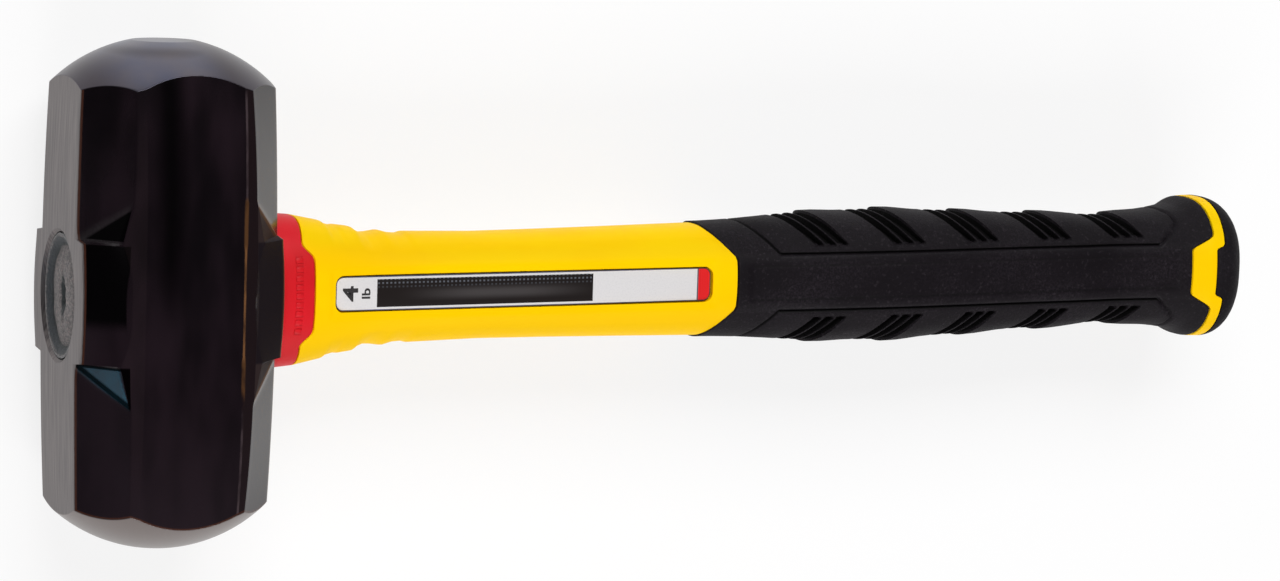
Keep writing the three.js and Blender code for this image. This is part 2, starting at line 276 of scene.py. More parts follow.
def evaluated_mesh(piece):
    """Mesh of an object with its modifiers applied."""
    evaluated = piece.evaluated_get(bpy.context.evaluated_depsgraph_get())
    return bpy.data.meshes.new_from_object(evaluated)


def cut(piece, cutter):
    """Takes the cutter's shape out of the piece."""
    modifier = piece.modifiers.new("cut", "BOOLEAN")
    modifier.operation = "DIFFERENCE"
    modifier.solver = "EXACT"
    modifier.object = cutter
    mesh = evaluated_mesh(piece)
    piece.modifiers.clear()
    old = piece.data
    piece.data = mesh
    bpy.data.meshes.remove(old)
    bpy.data.objects.remove(cutter)


def dressed(piece, material):
    """Gives the piece this material alone."""
    piece.data.materials.clear()
    piece.data.materials.append(material)


def finished(piece, material, slot, *nodes):
    """Gives the piece its material and body, and hides the CAD nodes that it replaces."""
    dressed(piece, material)
    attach(piece, "root")
    if nodes:
        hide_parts(*nodes)
    return piece


def joined_by(operation, swapped=False):
    """Method that joins a value and another one by a math node."""
    def method(self, other):
        pair = (other, self) if swapped else (self, other)
        return self.nodes.math(operation, *pair)
    return method


class Value:
    """Number or colour that comes out of a node and takes the usual arithmetic."""
    __add__ = __radd__ = joined_by("ADD")
    __sub__ = joined_by("SUBTRACT")
    __rsub__ = joined_by("SUBTRACT", swapped=True)
    __mul__ = __rmul__ = joined_by("MULTIPLY")
    __truediv__ = joined_by("DIVIDE")
    __pow__ = joined_by("POWER")
    __mod__ = joined_by("FLOORED_MODULO")

    def __init__(self, nodes, socket):
        self.nodes, self.socket = nodes, socket

    def __abs__(self):
        return self.nodes.math("ABSOLUTE", self)


class Nodes:
    """Node tree that is written as arithmetic."""

    def __init__(self, tree):
        self.tree = tree

    def node(self, kind, output=0, inputs={}, **settings):
        """One output of a new node with its inputs and settings."""
        made = self.tree.nodes.new(kind)
        for name, value in settings.items():
            setattr(made, name, value)
        for socket, value in inputs.items():
            self.put(made.inputs[socket], value)
        return Value(self, made.outputs[output])

    def put(self, socket, value):
        if isinstance(value, Value):
            self.tree.links.new(value.socket, socket)
        else:
            socket.default_value = value

    def math(self, operation, *values):
        return self.node("ShaderNodeMath", 0, dict(enumerate(values)), operation=operation)

    def root(self, value):
        return self.math("SQRT", value)

    def most(self, first, *others):
        for other in others:
            first = self.math("MAXIMUM", first, other)
        return first

    def rise(self, value, low, high, smooth=True):
        """0 where the value is at low and 1 where it is at high."""
        kind = "SMOOTHSTEP" if smooth else "LINEAR"
        inputs = {"Value": value, "From Min": low, "From Max": high}
        return self.node("ShaderNodeMapRange", "Result", inputs, interpolation_type=kind)

    def between(self, value, low, high, edge=0.05):
        return self.rise(value, low - edge, low + edge) * self.rise(value, high + edge, high - edge)

    def blend(self, share, first, second):
        """Colour between two colours."""
        return self.node("ShaderNodeMix", 2, {"Factor": share, 6: first, 7: second}, data_type="RGBA")

    def level(self, share, first, second):
        """Number between two numbers."""
        return self.node("ShaderNodeMix", 0, {"Factor": share, 2: first, 3: second}, data_type="FLOAT")

    def coated(self, colour, *coats):
        """Colour under coats that are given as their share and their colour."""
        for share, coat in coats:
            colour = self.blend(share, colour, coat)
        return colour


class Shader(Nodes):
    """Node material whose x, y and z are millimetres from the handle's axis."""

    def __init__(self, name, **sockets):
        self.material = bpy.data.materials.new(name)
        self.material.use_nodes = True
        super().__init__(self.material.node_tree)
        self.surface = self.tree.nodes["Principled BSDF"]
        self.link(**sockets)
        place = self.node("ShaderNodeTexCoord", "Object")
        place = self.node("ShaderNodeVectorMath", 0, {0: place, 1: AXIS}, operation="SUBTRACT")
        self.place = self.node("ShaderNodeVectorMath", 0, {0: place, "Scale": 1 / MM}, operation="SCALE")
        self.x, self.y, self.z = (self.node("ShaderNodeSeparateXYZ", letter, {0: self.place})
                                  for letter in "XYZ")

    def noise(self, scale, detail=2.0, stretch=(1, 1, 1), roughness=0.5):
        """Noise from 0 to 1 with about scale grains a millimetre."""
        place = self.node("ShaderNodeVectorMath", 0, {0: self.place, 1: stretch}, operation="MULTIPLY")
        inputs = {"Vector": place, "Scale": scale, "Detail": detail, "Roughness": roughness}
        return self.node("ShaderNodeTexNoise", "Fac", inputs)

    def oval(self, half_height, half_width):
        """Distance from the handle's axis as a share of an oval's half-sizes."""
        return self.root((abs(self.y) / half_height) ** 2 + (abs(self.z) / half_width) ** 2)

    def bump(self, height, depth, strength=1.0):
        """Fine relief: height from 0 to 1, depth in millimetres."""
        inputs = {"Strength": strength, "Distance": depth * MM, "Height": height}
        self.link(Normal=self.node("ShaderNodeBump", "Normal", inputs))

    def look(self, colour, rough, **sockets):
        return self.link(Base_Color=colour, Roughness=rough, **sockets)

    def link(self, **sockets):
        for name, value in sockets.items():
            self.put(self.surface.inputs[name.replace("_", " ")], value)
        return self.material


# Colours as linear values
ENAMEL = (0.0035, 0.0025, 0.0033, 1)
# Painted shade, where the enamel is darkest
ENAMEL_PAINTED_SHADE = (0.0008, 0.0006, 0.0008, 1)
# Thinner paint, and a painted sheen towards the lower end
ENAMEL_THIN_AND_SHEEN = (0.0125, 0.0075, 0.0105, 1)
# Right-hand bosses: their dull tone, browner ramps and orange ramp edges are painted reflections of the
# handle
BOSS_DULL_REFLECTION = (0.0105, 0.0075, 0.0095, 1)
RAMP_REFLECTION = (0.026, 0.0175, 0.0175, 1)
RAMP_EDGE_REFLECTION = (0.075, 0.034, 0.014, 1)
# Painted reflection of the handle beyond the right-hand crease
ENAMEL_HANDLE_REFLECTION = (0.0125, 0.0075, 0.0085, 1)
# Painted reflection of the handle along the right-hand crease, brown in the middle and dull at the ends
CREASE_REFLECTION = (0.15, 0.068, 0.027, 1)
CREASE_REFLECTION_DULL = (0.05, 0.036, 0.04, 1)
EDGE_BROWN = (0.045, 0.017, 0.011, 1)
GROUND_STEEL = (0.205, 0.183, 0.18, 1)
GROUND_STEEL_DARK = (0.10, 0.09, 0.092, 1)
DOME_STEEL = (0.15, 0.138, 0.158, 1)
DOME_STEEL_DARK = (0.12, 0.122, 0.165, 1)
# Painted light on the domes: a paler, warmer lower dome, and painted shade round a bright middle
DOME_STEEL_LIT_WARM = (0.195, 0.168, 0.16, 1)
DOME_PAINTED_SHADE = (0.052, 0.043, 0.05, 1)
RESIN = (0.2, 0.175, 0.17, 1)
RESIN_DULL = (0.085, 0.075, 0.075, 1)
RESIN_WARM = (0.27, 0.2, 0.19, 1)
# Painted shade in the resin's dish and slit, and the colour of its random dark pits
RESIN_SLOPE_SHADE = (0.028, 0.034, 0.04, 1)
RESIN_PITS_AND_SHADE = (0.012, 0.018, 0.02, 1)
RESIN_LIP = (0.2, 0.2, 0.2, 1)
YELLOW = (0.98, 0.64, 0.0, 1)
# Deeper yellow of the streaks, and painted shade on the lower side
YELLOW_DEEP_AND_SHADE = (0.98, 0.585, 0.0, 1)
RED = (0.70, 0.010, 0.020, 1)
RED_DEEP = (0.60, 0.009, 0.014, 1)
RUBBER = (0.006, 0.0045, 0.0062, 1)
RUBBER_PALE = (0.014, 0.011, 0.0145, 1)
# Painted shade in the grip's grooves and lines
RUBBER_GROOVE_SHADE = (0.0012, 0.001, 0.0012, 1)
RUBBER_DUST = (0.05, 0.042, 0.05, 1)
FIBREGLASS = (0.66, 0.56, 0.30, 1)
FIBREGLASS_DARK = (0.45, 0.36, 0.17, 1)
LABEL_WHITE = (0.70, 0.69, 0.69, 1)
LABEL_WHITE_DULL = (0.65, 0.64, 0.645, 1)
LABEL_BLACK = (0.014, 0.011, 0.0105, 1)
LABEL_GREY = (0.12, 0.13, 0.15, 1)
# Painted sheen on the label's black band
LABEL_SHEEN = (0.055, 0.05, 0.05, 1)
LABEL_RED = (0.70, 0.02, 0.022, 1)
LABEL_EDGE = (0.05, 0.055, 0.075, 1)
INK_PALE = (0.045, 0.043, 0.045, 1)
FLOOR_WHITE = (0.95, 0.95, 0.95, 1)
FLOOR_DULL = (0.94, 0.94, 0.94, 1)
FLOOR_SEEN = (1, 1, 1, 1)
SKY_DARK = (0.02, 0.019, 0.021, 1)
SKY_FAR = (0.19, 0.195, 0.25, 1)
SKY_NEAR = (0.34, 0.315, 0.335, 1)
SKY_TOP = (0.2, 0.14, 0.15, 1)
COOL = (0.02, 0.62, 1.0)

# Share of the floor's look that is its own even white, which leaves the object's shadow faint
FLOOR_EVEN = 0.8
# How far the edges of the paint wander
PAINT_WANDER = 0.25
# Specular levels of the enamel, bright and matt
ENAMEL_GLOSS = 0.5
ENAMEL_DULL = 0.05


def head_masks(s):
    """Shares from 0 to 1 that say which surfaces of the head a point is on."""
    m = SimpleNamespace(along=abs(s.y), right=s.rise(s.x, 0, 1), lower=s.rise(s.y, 6, -6))
    away, aside = abs(s.x), abs(s.z)
    m.wander = (s.noise(0.8, 3) - 0.5) * PAINT_WANDER

    # Bare steel: the domed ends, the faces round the eye and the rim of the eye
    squares = away ** 2 + aside ** 2
    m.radius = s.root(squares)
    past_middle = s.most(m.along - DOME_MIDDLE, 0)
    over_dome = s.root(squares + past_middle ** 2) - DOME_RADIUS + m.wander * 0.2
    m.dome = s.most(s.rise(over_dome, -0.12, -0.1), s.rise(m.along, HALF_LENGTH - 1.2, HALF_LENGTH - 1))
    bend = (m.along / SHOULDER) ** 2
    over_face = away - HALF_DEPTH + bend * END_DEPTH_LOSS
    over_side = aside - FACE_HALF + bend * FACE_END_LOSS
    to_paint = over_face + m.wander * 0.35 + s.level(s.rise(m.along, 19, 13), 0.16, 0.42)
    rim = s.rise(s.oval(EYE_HALF_HEIGHT + EYE_CHAMFER, EYE_HALF_WIDTH + EYE_CHAMFER), 1.06, 1.03)
    m.bare = s.most(m.dome, s.rise(to_paint, -0.05, 0.05), rim)
    m.line = s.most(s.rise(to_paint, -0.5, -0.3), s.rise(over_dome, -0.45, -0.33) * m.lower)

    # Bosses: height over the plain chamfer, and depth below the strip beside the cheek
    lean = chamfer_lean(BOSS_HEEL)
    before_foot = s.rise(m.along, BOSS_FOOT + 0.5, BOSS_FOOT)
    proud = (over_face * lean.x + over_side * lean.y) * before_foot
    below = HALF_WIDTH - (aside + (away - CREASE) * STRIP_SLOPE)
    m.raised = s.rise(proud, 0.12, 0.3)
    m.ramp = s.rise(m.along, BOSS_END, BOSS_RIDGE)
    # Right-hand boss facets: their gloss is dulled, and their colour holds a painted reflection of the
    # handle, orange along the ramps' edges
    m.matt = m.raised * m.right * (1 - m.bare) * s.rise(s.x, CREASE + 0.8, CREASE + 1.2)
    m.ramp_edge = s.between(proud, 0.12, 0.4, 0.06) * m.ramp * m.right * s.rise(below, 0.15, 0.4)

    # Left bosses: painted shade darkens the upper ramp in its middle and the lower one at its border
    core = s.rise(proud, 0.22, 0.34) * s.rise(below, 0.1, 0.22)
    core *= s.rise(m.along, BOSS_RIDGE + 0.35, BOSS_RIDGE + 0.6)
    m.framed = s.level(s.rise(s.y, -1, 1), 1 - core, core) * m.ramp * before_foot
    m.framed *= (1 - s.most(m.right, m.bare)) * s.rise(proud, 0.03, 0.1)
    return m


def ground_colour(s, m, grinding):
    """Ground faces, and domes whose bright middle is a painted highlight inside painted shade, a dark ring
    and darker sides, with painted light that makes the lower dome paler and warmer.
    """
    ground = s.blend(s.rise(grinding, 0.35, 0.65, False), GROUND_STEEL_DARK, GROUND_STEEL)
    turned = s.blend(s.rise(s.noise(0.12, 3), 0.3, 0.7, False), DOME_STEEL_DARK, DOME_STEEL)
    # Painted shade in a ring and to both sides leaves a painted highlight in the middle; the lower dome is
    # painted paler and warmer, as lit
    ring = s.between(m.radius, 12.5, 16.5, 2.0)
    off_glow = s.rise(abs(s.x + 6), 5, 17)
    turned = s.coated(turned, (s.most(ring * 0.55, off_glow * 0.85), DOME_PAINTED_SHADE),
                      (m.lower, DOME_STEEL_LIT_WARM))
    return s.blend(m.dome, ground, turned)


def enamel_colour(s, m):
    """Black paint that is thinner in places, with a brown line along its edges; painted shade blackens the
    left of the cheek and the left boss, a painted sheen lightens it towards the lower end, and painted
    reflections of the handle turn it brown and orange on the right-hand side, along the crease and on the
    bosses.
    """
    # Random thinner paint, and a painted sheen that lightens the enamel towards the lower end
    thin_and_sheen = s.noise(0.06, 2, (1.6, 0.5, 1)) + s.level(s.rise(s.y, 35, -30), 0.0, 0.16)
    enamel = s.blend(s.rise(thin_and_sheen, 0.3, 0.8), ENAMEL, ENAMEL_THIN_AND_SHEEN)
    # Painted shade: near black on the left of the cheek towards the upper end, and on the left boss above its
    # lower part
    cheek_shade = s.between(s.x, -9.5, -3.5, 3.0) * s.rise(s.y, -12, 12)
    on_boss = m.raised * (1 - m.right) * s.rise(m.along, BOSS_END + 0.2, BOSS_END - 0.2)
    on_boss *= s.rise(s.y, -7, -3)
    enamel = s.blend(s.most(cheek_shade * 0.9, on_boss), enamel, ENAMEL_PAINTED_SHADE)
    # Painted reflection of the handle: brown beyond the crease on the right-hand side
    brown = s.blend(s.rise(s.x, CREASE, CREASE + 0.4), enamel, ENAMEL_HANDLE_REFLECTION)
    # Painted reflection of the handle along the right-hand crease: a thin line, dull near the ends, brown in
    # the middle and orange beside the ramps
    beside_ramp = s.between(m.along, BOSS_END - 1, BOSS_FOOT, 1.2)
    spread = s.level(beside_ramp, 0.42, 0.72)
    crease = s.rise(abs(s.x - (CREASE + 0.1) + m.wander * 0.6), spread, spread * 0.38)
    crease *= s.rise(s.noise(0.3, 3, (1, 0.35, 1)), 0.3, 0.6)
    crease_reflection = s.coated(CREASE_REFLECTION_DULL, (s.rise(m.along, BOSS_FOOT + 1, BOSS_FOOT - 1), CREASE_REFLECTION),
                    (beside_ramp, RAMP_EDGE_REFLECTION))
    return s.coated(enamel, (s.rise(s.x, 2, 10) * 0.8, brown), (crease, crease_reflection),
                    (m.matt, s.blend(m.ramp, BOSS_DULL_REFLECTION, RAMP_REFLECTION)), (m.ramp_edge, RAMP_EDGE_REFLECTION),
                    (m.line, EDGE_BROWN), (m.framed, ENAMEL_PAINTED_SHADE))


def steel_material():
    """Enamelled steel with bare ground faces round the eye and on the ends."""
    s = Shader("forged_steel", IOR=1.32)
    m = head_masks(s)
    grinding = s.noise(1.0, 4, (0.6, 0.06, 2.6), 0.6)
    fine = s.noise(3.0, 3)
    ground_rough = s.level(m.dome, s.level(grinding, 0.36, 0.5), s.level(fine, 0.3, 0.36))
    paint_rough = s.level(m.matt, s.level(s.noise(0.3, 2), 0.13, 0.2), 0.55)
    scored = s.level(m.dome, grinding + fine * 0.2, fine * 0.15)
    peel = s.noise(0.7, 3) * 0.5 + s.noise(2.2, 2) * 0.12
    s.bump(s.level(m.bare, peel, scored), 0.03, 0.6)
    colour = s.blend(m.bare, enamel_colour(s, m), ground_colour(s, m, grinding))
    gloss = s.level(s.most(m.matt, m.framed), ENAMEL_GLOSS, ENAMEL_DULL)
    rough = s.level(m.bare, paint_rough, ground_rough)
    return s.look(colour, rough, Metallic=m.bare, Specular_IOR_Level=gloss)


def resin_material():
    """Cast grey resin: a pale rim, painted shade on the slope of its dish that is darkest in a ring at the
    bottom, a rough filling with dark pits, and painted shade in the slit.
    """
    s = Shader("cast_resin", IOR=1.5)
    grain = s.noise(1.1, 5, roughness=0.7)
    pits = s.noise(1.9, 3)
    uneven = (grain - 0.5) * 0.12
    share = s.oval(EYE_HALF_HEIGHT, EYE_HALF_WIDTH) + uneven
    slit = s.oval(EYE_HALF_HEIGHT / math.sqrt(10), EYE_HALF_WIDTH / math.sqrt(45)) + uneven * 2.5
    # Painted shade on the dish's slope, in the ring at its bottom and in the slit; the other dark marks are
    # random pits
    colour = s.coated(
        RESIN_DULL, (s.rise(grain, 0.4, 0.6), RESIN), (s.rise(pits, 0.58, 0.68), RESIN_WARM),
        (s.rise(pits, 0.42, 0.34) * 0.7, RESIN_PITS_AND_SHADE), (s.between(share, 0.8, 0.93, 0.03), RESIN_SLOPE_SHADE),
        (s.between(share, 0.79, 0.825, 0.02), RESIN_PITS_AND_SHADE), (s.rise(share, 0.935, 0.96), RESIN_LIP),
        (s.rise(slit, 1.1, 0.85), RESIN_PITS_AND_SHADE))
    s.bump(grain + pits * 0.5, 0.45)
    return s.look(colour, s.level(grain, 0.38, 0.6))


def yellow_material():
    """Smooth moulded plastic with streaks of deeper colour, and painted shade that deepens its colour on its
    lower side.
    """
    s = Shader("yellow_plastic", IOR=1.48, Specular_IOR_Level=0.05)
    flow_and_shade = s.rise(s.noise(0.05, 3, (0.5, 1.6, 1.6)), 0.3, 0.7)
    # Painted shade: the deeper colour takes over towards the lower side
    flow_and_shade *= s.level(s.rise(s.y, 8, -10), 1, 0.25)
    s.bump(s.noise(4.0, 3), 0.02, 0.5)
    return s.look(s.blend(flow_and_shade, YELLOW_DEEP_AND_SHADE, YELLOW), s.level(s.noise(0.4, 3), 0.4, 0.52))


def red_material():
    """Satin rubber with a cloudy colour."""
    s = Shader("red_rubber", IOR=1.48, Specular_IOR_Level=0.2)
    fine = s.noise(3.5, 3)
    s.bump(fine, 0.03, 0.6)
    cloudy = s.blend(s.rise(s.noise(0.06, 2), 0.35, 0.7), RED, RED_DEEP)
    return s.look(cloudy, s.level(fine, 0.42, 0.56))


def groove_mask(s, height):
    """1 in the grooves beside the panel."""
    along = s.x + s.most(height - GROOVE_HEIGHT, 0) - GROOVE_START + GROOVE_PITCH / 2
    in_group = along % GROUP_PITCH
    off_middle = abs(in_group % GROOVE_PITCH - GROOVE_PITCH / 2)
    sunk = s.rise(off_middle, GROOVE_WIDTH / 2 + 0.1, GROOVE_WIDTH / 2 - 0.1)
    sunk *= s.rise(in_group, GROUP_LENGTH, GROUP_LENGTH - 0.1)
    sunk *= s.between(along, 0, GROOVE_GROUPS * GROUP_PITCH, 0.1)
    return sunk * s.rise(height, GROOVE_HEIGHT - 0.1, GROOVE_HEIGHT + 0.1)


def line_mask(s, height):
    """1 in the line round the panel, and less at the border of the field inside it."""
    line = s.rise(abs(height - PANEL_HEIGHT), 0.5, 0.2) * s.between(s.x, PANEL_TURN, PANEL_END, 0.2)
    turn = s.rise(abs(s.x + height - (PANEL_TURN + PANEL_HEIGHT)), 0.6, 0.25)
    turn *= s.rise(s.x, PANEL_TURN, PANEL_TURN - 0.2)
    field = s.rise(abs(height - FIELD_HEIGHT), 0.5, 0.1)
    field *= s.between(s.x, PANEL_TURN - 8, PANEL_END + 5, 0.3)
    return s.most(line, turn, field * 0.45)


def rubber_material():
    """Matt rubber, smoother on the panels, with painted shade that blackens the grooves and the lines."""
    s = Shader("black_rubber", IOR=1.46, Specular_IOR_Level=0.16)
    height = abs(s.y)
    panel = s.rise(height, 8.2, 7.2) * s.rise(s.x, FLANGE_START, FLANGE_START - 6)
    grain = s.noise(1.7, 4, roughness=0.65)
    s.bump(s.level(panel, grain, grain * 0.35), 0.2, 0.9)
    cloudy = s.blend(s.rise(s.noise(0.08, 3, (0.6, 1, 1)), 0.3, 0.7), RUBBER, RUBBER_PALE)
    sunk = groove_mask(s, height)
    # Painted shade blackens the grooves, the line round the panel and, more faintly, the border of the field
    colour = s.coated(RUBBER, (s.rise(grain, 0.42, 0.62), cloudy),
                      (s.rise(s.noise(1.1, 2), 0.58, 0.72) * 0.25, RUBBER_DUST),
                      (sunk, RUBBER_GROOVE_SHADE), (line_mask(s, height) * 0.85, RUBBER_GROOVE_SHADE))
    rough = s.level(panel, s.level(grain, 0.6, 0.8), s.level(grain, 0.44, 0.58))
    return s.look(colour, s.level(sunk, rough, 0.95))


def fibreglass_material():
    """Pultruded rod with long fibres."""
    s = Shader("fibreglass_rod", IOR=1.5)
    fibres = s.noise(1.0, 4, (0.04, 5, 5))
    s.bump(fibres, 0.04, 0.5)
    return s.look(s.blend(fibres, FIBREGLASS_DARK, FIBREGLASS), s.level(fibres, 0.35, 0.5))


def label_inset(s, along):
    """Distance inward from the outline of the printed plate."""
    half = (LABEL_END - LABEL_START) / 2
    over_x = abs(along - half) - (half - LABEL_RADIUS)
    over_y = abs(s.y) - (LABEL_HALF - LABEL_RADIUS)
    corner = s.root(s.most(over_x, 0) ** 2 + s.most(over_y, 0) ** 2)
    return LABEL_RADIUS - (corner + s.math("MINIMUM", s.most(over_x, over_y), 0))


def label_material():
    """Printed film: white with a dotted black band, a red end and a dark outline."""
    s = Shader("label_film", IOR=1.5, Specular_IOR_Level=0.18)
    along = s.x - LABEL_START
    dots = s.rise(s.math("PINGPONG", along, DOT_PITCH), 0.22, 0.4)
    dots *= s.rise(s.math("PINGPONG", s.y + 100 * ROW_PITCH, ROW_PITCH), 0.2, 0.36)
    # Painted sheen: a paler streak along the middle of the black band
    band_sheen = s.rise(abs(along - (BAND_END - 26)), 30, 4) * s.rise(abs(s.y + 0.4), 2.2, 0.2)
    band = s.coated(LABEL_BLACK, (band_sheen, LABEL_SHEEN), (dots * s.rise(s.y, 0.6, 3.0), LABEL_GREY))
    band_half = LABEL_HALF - PRINT_MARGIN
    in_band = s.between(along, WHITE_END, BAND_END) * s.rise(abs(s.y), band_half, band_half - 0.1)
    speck = s.noise(2.2, 3)
    divider = s.between(along, RED_START - 0.35, RED_START, 0.06)
    outline = s.rise(label_inset(s, along), PRINT_BORDER + 0.08, PRINT_BORDER - 0.08)
    colour = s.coated(LABEL_WHITE, (s.rise(speck, 0.4, 0.8), LABEL_WHITE_DULL), (in_band, band),
                      (s.rise(along, RED_START - 0.05, RED_START + 0.05), LABEL_RED),
                      (s.most(divider, outline), LABEL_EDGE))
    s.bump(s.noise(1.5, 3), 0.015, 0.4)
    return s.look(colour, s.level(speck, 0.26, 0.36))


def ink_material():
    """Dark printing ink."""
    s = Shader("printing_ink", IOR=1.5)
    grain = s.noise(3.0, 3)
    return s.look(s.blend(grain, LABEL_BLACK, INK_PALE), s.level(grain, 0.35, 0.5))


def floor_material():
    """Plain pale floor that keeps a soft shadow."""
    s = Shader("pale_floor", Specular_IOR_Level=0.1)
    s.look(s.blend(s.noise(0.004, 2), FLOOR_WHITE, FLOOR_DULL), 0.8)
    camera, glossy, passing = (s.node("ShaderNodeLightPath", ray)
                               for ray in ("Is Camera Ray", "Is Glossy Ray", "Is Transmission Ray"))
    seen = s.math("MINIMUM", camera + glossy + passing, 1)
    mixed = s.node("ShaderNodeMixShader", 0, {
        0: seen * FLOOR_EVEN, 1: Value(s, s.surface.outputs[0]),
        2: s.node("ShaderNodeEmission", 0, {"Color": FLOOR_SEEN})})
    s.put(s.tree.nodes["Material Output"].inputs["Surface"], mixed)
    return s.material


# Half-sizes of the head at a distance y from its middle
def face_at(y):
    return HALF_DEPTH - END_DEPTH_LOSS * (y / SHOULDER) ** 2


def cheek_at(y):
    share = np.maximum(0, (y - CHEEK_FLAT) / (SHOULDER - CHEEK_FLAT))
    return HALF_WIDTH - END_WIDTH_LOSS * share ** 2


def face_half_at(y):
    return FACE_HALF - FACE_END_LOSS * (y / SHOULDER) ** 2


def strip_at(y):
    return STRIP - STRIP_END_LOSS * (y / SHOULDER) ** 2


def boss_strip_at(y):
    share = np.minimum(y / BOSS_END, 1)
    inside = BOSS_STRIP + (BOSS_END_STRIP - BOSS_STRIP) * share ** 2
    foot = np.clip((y - BOSS_END) / (BOSS_FOOT - BOSS_END), 0, 1)
    return inside + (strip_at(y) - BOSS_END_STRIP) * foot


def crest_at(y, strip):
    """Outer edge, in x and z, of the strip beside the cheek."""
    return CREASE + strip, cheek_at(y) - STRIP_SLOPE * strip


def boss_crest_at(y):
    """Edge between the strip and the facet of a boss."""
    return crest_at(y, boss_strip_at(y))


def boss_foot_at(y):
    """Height at which the facet meets the face, which falls past the ridge."""
    share = np.minimum(y / BOSS_END, 1)
    inside = face_half_at(y) + BOSS_RISE + (BOSS_END_RISE - BOSS_RISE) * share ** 2
    heel_x, heel_z = boss_crest_at(BOSS_HEEL)
    slope = (heel_z - face_half_at(BOSS_HEEL)) / (face_at(BOSS_HEEL) - heel_x)
    x, z = boss_crest_at(y)
    outside = z - slope * (face_at(y) - x)
    return inside + (outside - inside) * np.clip((y - BOSS_END) / BOSS_BEVEL, 0, 1)


def chamfer_lean(y):
    """Direction across the plain chamfer, outward in x and z."""
    x, z = crest_at(y, strip_at(y))
    return Vector((z - face_half_at(y), face_at(y) - x)).normalized()


def dome_at(y):
    past = np.clip(y - DOME_MIDDLE, 0, DOME_RADIUS)
    return np.sqrt(np.maximum(DOME_RADIUS ** 2 - past ** 2, 0.01))


def slanted_reach(x1, z1, x2, z2, c, s):
    """Distance along the direction (c, s) to the line through two corners."""
    across, up = z1 - z2, x2 - x1
    return (across * x1 + up * z1) / np.maximum(across * c + up * s, TINY)


def plain_reaches(y, c, s):
    """Distances to the lines of the cheek, the strip and the plain chamfer."""
    cheek = cheek_at(y)
    return [cheek / np.maximum(s, TINY),
            slanted_reach(CREASE, cheek, CREASE + 1, cheek - STRIP_SLOPE, c, s),
            slanted_reach(*crest_at(y, strip_at(y)), face_at(y), face_half_at(y), c, s)]


def body_reach(y, c, s):
    """Reach of the head before its ends are domed."""
    return np.minimum.reduce(plain_reaches(y, c, s) + [face_at(y) / np.maximum(c, TINY)])


def head_reach(y, c, s):
    """Distance to the surface of the head, for y, c and s that aren't negative."""
    flat, strip_line, chamfer = plain_reaches(y, c, s)
    facet = slanted_reach(*boss_crest_at(y), face_at(y), boss_foot_at(y), c, s)
    plain = rounded_least([flat, strip_line, chamfer], CREASE_ROUND)
    boss = rounded_least([flat, strip_line, facet], CREASE_ROUND)
    front = -rounded_least([-plain, -boss], BOSS_ROUND) - BOSS_ROUND * math.log(2)
    blend = FACE_ROUND + (EYE_FACE_ROUND - FACE_ROUND) * smooth_step(17, 12, y)
    side = rounded_least([front, face_at(y) / np.maximum(c, TINY)], blend)
    return rounded_least([side, dome_at(y)], RIM_ROUND)


# Parts into which a quarter of the head's section is divided between its corners
SECTION_PARTS = (8, 7, 9, 8, 11)
# Where no edge crosses the facet: place along the head, then share of the facet's width
FREE_SHARES = ((0, BOSS_END, BOSS_HEEL, BOSS_FOOT, 36), (0.6, 0.7, 0.96, 0.04, 0.5))


def head_directions(y):
    """Angles all round whose rays meet the corners of the head's section."""
    x1, z1 = boss_crest_at(y)
    x3, z3 = face_at(y), max(boss_foot_at(y), face_half_at(y))
    if BOSS_HEEL < y < BOSS_FOOT:
        fall = (z1 - boss_foot_at(y)) / (x3 - x1)
        low_x, low_z = crest_at(y, strip_at(y))
        chamfer_fall = (low_z - z3) / (x3 - low_x)
        meeting = (z1 + fall * x1 - low_z - chamfer_fall * low_x) / (fall - chamfer_fall)
        x2 = x1 + (x3 - x1) * np.clip((meeting - x1) / (x3 - x1), 0.04, 0.96)
        z2 = z1 - fall * (x2 - x1)
    else:
        share = np.interp(y, *FREE_SHARES)
        x2, z2 = x1 + (x3 - x1) * share, z1 + (z3 - z1) * share
    places = [(0, cheek_at(y)), (CREASE, cheek_at(y)), (x1, z1), (x2, z2), (x3, z3), (x3, 0)]
    angles = []
    for (ax, az), (bx, bz), count in zip(places, places[1:], SECTION_PARTS):
        for share in eased(count)[:-1]:
            angles.append(math.atan2(az + (bz - az) * share, ax + (bx - ax) * share))
    up, down = np.array(angles), np.array([0.0] + angles[:0:-1])
    return np.concatenate([up, -down, up - math.pi, math.pi - down])


def ring_of_head(y, turn):
    c, s = np.cos(turn), np.sin(turn)
    reach = head_reach(y, np.abs(c), np.abs(s))
    return points_at(reach * c, y, reach * s)


